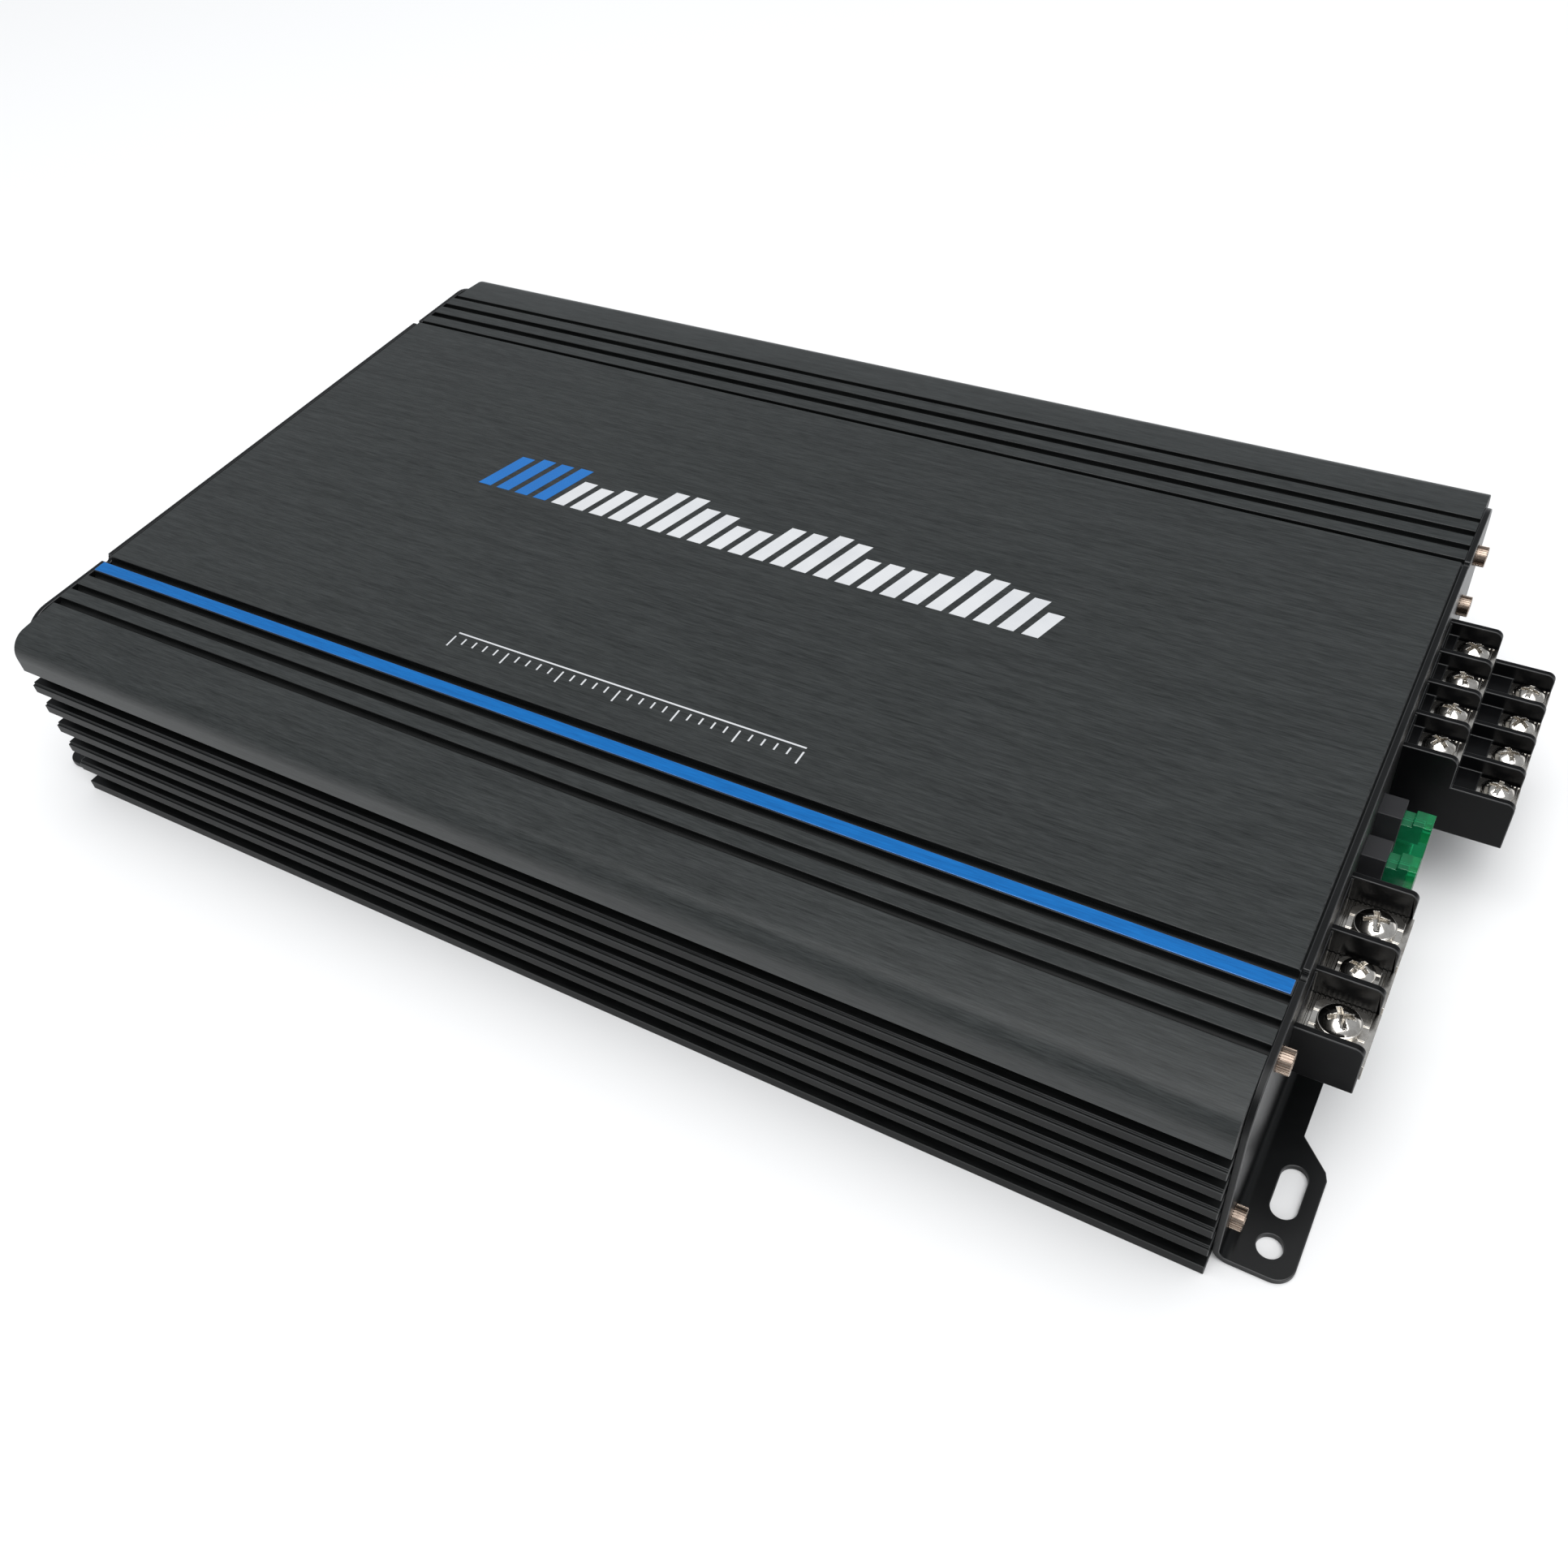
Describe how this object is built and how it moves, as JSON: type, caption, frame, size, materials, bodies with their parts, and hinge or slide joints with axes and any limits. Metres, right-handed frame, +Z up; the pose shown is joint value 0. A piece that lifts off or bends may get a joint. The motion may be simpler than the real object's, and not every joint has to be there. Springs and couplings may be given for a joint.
{
  "type": "car amplifier",
  "caption": "Multi-channel car audio amplifier in a flat finned extrusion with a blue stripe, footed steel end plates, screw terminals, blade fuses and input controls.",
  "frame": {"origin": "middle of the underside, in the plane that the feet and the bottom cover stand on", "axes": "+X along the extrusion towards the power and speaker terminals, +Y towards the back, away from the blue stripe, +Z up"},
  "size_m": [0.3404, 0.192, 0.0526],
  "materials": {
    "black_aluminium": "black anodised, brushed",
    "blue_trim": "blue anodised",
    "black_steel": "satin black paint",
    "dark_screw": "dark nickel plating",
    "nickel": "bright nickel plating",
    "zinc": "zinc plating",
    "brass": "bare brass",
    "board": "solder mask",
    "black_plastic": "moulded, semi-gloss",
    "grey_plastic": "moulded, satin",
    "fuse_green": "clear green",
    "white_plastic": "moulded white",
    "ivory_plastic": "moulded red and white",
    "led_blue": "tinted lens",
    "led_red": "tinted lens",
    "ferrite": "pressed powder",
    "copper_wire": "enamelled copper wire",
    "sleeve_blue": "shrink sleeve",
    "chip_black": "moulded package",
    "pad_grey": "silicone pad"
  },
  "bodies": {
    "chassis": {"heatsink": "black_aluminium", "accent_strip": "blue_trim", "power_end_plate": "black_steel", "input_end_plate": "black_steel", "bottom_cover": "black_steel", "end_plate_screws": "dark_screw", "bottom_cover_screws": "dark_screw", "inner_screws": "zinc", "board_bracket": "zinc", "circuit_board": "board", "board_standoffs": "brass", "speaker_block": "black_plastic", "speaker_contacts": "nickel", "power_block": "black_plastic", "power_contacts": "nickel", "fuse_holders": "grey_plastic", "fuse_clips": "brass", "rca_housing": "black_plastic", "rca_sleeves": "nickel", "rca_insulators": "ivory_plastic", "rca_contacts": "brass", "remote_port": "black_plastic", "pot_bodies": "zinc", "switch_bodies": "zinc", "power_led": "led_blue", "protect_led": "led_red", "toroid_core": "ferrite", "toroid_winding": "copper_wire", "filter_capacitors": "sleeve_blue", "output_coils": "copper_wire", "driver_chips": "chip_black", "power_transistors": "chip_black", "thermal_pads": "pad_grey", "transistor_clamps": "zinc"},
    "speaker_screw_1": {"speaker_screw_1": "nickel"},
    "speaker_screw_2": {"speaker_screw_2": "nickel"},
    "speaker_screw_3": {"speaker_screw_3": "nickel"},
    "speaker_screw_4": {"speaker_screw_4": "nickel"},
    "speaker_screw_5": {"speaker_screw_5": "nickel"},
    "speaker_screw_6": {"speaker_screw_6": "nickel"},
    "speaker_screw_7": {"speaker_screw_7": "nickel"},
    "speaker_screw_8": {"speaker_screw_8": "nickel"},
    "ground_washer": {"ground_washer": "nickel"},
    "ground_screw": {"ground_screw": "nickel"},
    "remote_washer": {"remote_washer": "nickel"},
    "remote_screw": {"remote_screw": "nickel"},
    "battery_washer": {"battery_washer": "nickel"},
    "battery_screw": {"battery_screw": "nickel"},
    "front_gain_knob": {"front_gain_knob": "black_plastic"},
    "front_crossover_knob": {"front_crossover_knob": "black_plastic"},
    "rear_gain_knob": {"rear_gain_knob": "black_plastic"},
    "rear_crossover_knob": {"rear_crossover_knob": "black_plastic"},
    "bass_boost_knob": {"bass_boost_knob": "black_plastic"},
    "front_filter_lever": {"front_filter_lever": "white_plastic"},
    "rear_filter_lever": {"rear_filter_lever": "white_plastic"},
    "input_mode_lever": {"input_mode_lever": "white_plastic"},
    "fuse_1": {"fuse_1_housing": "fuse_green", "fuse_1_element": "zinc"},
    "fuse_2": {"fuse_2_housing": "fuse_green", "fuse_2_element": "zinc"}
  },
  "joints": [
    {"name": "speaker_screw_1_turn", "type": "hinge", "parent": "chassis", "child": "speaker_screw_1", "pos_m": [0.1578, 0.01943, 0.0361], "axis": [0, 0, 1], "range_deg": [0, 1440]},
    {"name": "speaker_screw_2_turn", "type": "hinge", "parent": "chassis", "child": "speaker_screw_2", "pos_m": [0.1578, 0.03027, 0.0361], "axis": [0, 0, 1], "range_deg": [0, 1440]},
    {"name": "speaker_screw_3_turn", "type": "hinge", "parent": "chassis", "child": "speaker_screw_3", "pos_m": [0.1578, 0.04113, 0.0361], "axis": [0, 0, 1], "range_deg": [0, 1440]},
    {"name": "speaker_screw_4_turn", "type": "hinge", "parent": "chassis", "child": "speaker_screw_4", "pos_m": [0.1578, 0.05198, 0.0361], "axis": [0, 0, 1], "range_deg": [0, 1440]},
    {"name": "speaker_screw_5_turn", "type": "hinge", "parent": "chassis", "child": "speaker_screw_5", "pos_m": [0.1714, 0.01943, 0.0281], "axis": [0, 0, 1], "range_deg": [0, 1440]},
    {"name": "speaker_screw_6_turn", "type": "hinge", "parent": "chassis", "child": "speaker_screw_6", "pos_m": [0.1714, 0.03027, 0.0281], "axis": [0, 0, 1], "range_deg": [0, 1440]},
    {"name": "speaker_screw_7_turn", "type": "hinge", "parent": "chassis", "child": "speaker_screw_7", "pos_m": [0.1714, 0.04113, 0.0281], "axis": [0, 0, 1], "range_deg": [0, 1440]},
    {"name": "speaker_screw_8_turn", "type": "hinge", "parent": "chassis", "child": "speaker_screw_8", "pos_m": [0.1714, 0.05198, 0.0281], "axis": [0, 0, 1], "range_deg": [0, 1440]},
    {"name": "ground_washer_rise", "type": "slide", "parent": "chassis", "child": "ground_washer", "axis": [0, 0, 1], "range_m": [0, 0.0028]},
    {"name": "ground_screw_turn", "type": "hinge", "parent": "ground_washer", "child": "ground_screw", "pos_m": [0.1581, -0.05715, 0.0348], "axis": [0, 0, 1], "range_deg": [0, 1440]},
    {"name": "remote_washer_rise", "type": "slide", "parent": "chassis", "child": "remote_washer", "axis": [0, 0, 1], "range_m": [0, 0.0028]},
    {"name": "remote_screw_turn", "type": "hinge", "parent": "remote_washer", "child": "remote_screw", "pos_m": [0.1581, -0.04485, 0.0348], "axis": [0, 0, 1], "range_deg": [0, 1440]},
    {"name": "battery_washer_rise", "type": "slide", "parent": "chassis", "child": "battery_washer", "axis": [0, 0, 1], "range_m": [0, 0.0028]},
    {"name": "battery_screw_turn", "type": "hinge", "parent": "battery_washer", "child": "battery_screw", "pos_m": [0.1581, -0.0325, 0.0348], "axis": [0, 0, 1], "range_deg": [0, 1440]},
    {"name": "front_gain_turn", "type": "hinge", "parent": "chassis", "child": "front_gain_knob", "pos_m": [-0.15, -0.022, 0.033], "axis": [-1, 0, 0], "range_deg": [-150, 150]},
    {"name": "front_crossover_turn", "type": "hinge", "parent": "chassis", "child": "front_crossover_knob", "pos_m": [-0.15, -0.004, 0.033], "axis": [-1, 0, 0], "range_deg": [-150, 150]},
    {"name": "rear_gain_turn", "type": "hinge", "parent": "chassis", "child": "rear_gain_knob", "pos_m": [-0.15, 0.022, 0.033], "axis": [-1, 0, 0], "range_deg": [-150, 150]},
    {"name": "rear_crossover_turn", "type": "hinge", "parent": "chassis", "child": "rear_crossover_knob", "pos_m": [-0.15, 0.04, 0.033], "axis": [-1, 0, 0], "range_deg": [-150, 150]},
    {"name": "bass_boost_turn", "type": "hinge", "parent": "chassis", "child": "bass_boost_knob", "pos_m": [-0.15, 0.062, 0.033], "axis": [-1, 0, 0], "range_deg": [-150, 150]},
    {"name": "front_filter_slide", "type": "slide", "parent": "chassis", "child": "front_filter_lever", "axis": [0, 1, 0], "range_m": [-0.002, 0.002]},
    {"name": "rear_filter_slide", "type": "slide", "parent": "chassis", "child": "rear_filter_lever", "axis": [0, 1, 0], "range_m": [-0.002, 0.002]},
    {"name": "input_mode_slide", "type": "slide", "parent": "chassis", "child": "input_mode_lever", "axis": [0, 1, 0], "range_m": [0, 0.004]},
    {"name": "fuse_1_pull", "type": "slide", "parent": "chassis", "child": "fuse_1", "axis": [1, 0, 0], "range_m": [0, 0.016]},
    {"name": "fuse_2_pull", "type": "slide", "parent": "chassis", "child": "fuse_2", "axis": [1, 0, 0], "range_m": [0, 0.016]}
  ],
  "couplings": [
    {"joint": "ground_screw_turn", "follows": "ground_washer_rise", "rad_per_m": 8976},
    {"joint": "remote_screw_turn", "follows": "remote_washer_rise", "rad_per_m": 8976},
    {"joint": "battery_screw_turn", "follows": "battery_washer_rise", "rad_per_m": 8976}
  ]
}
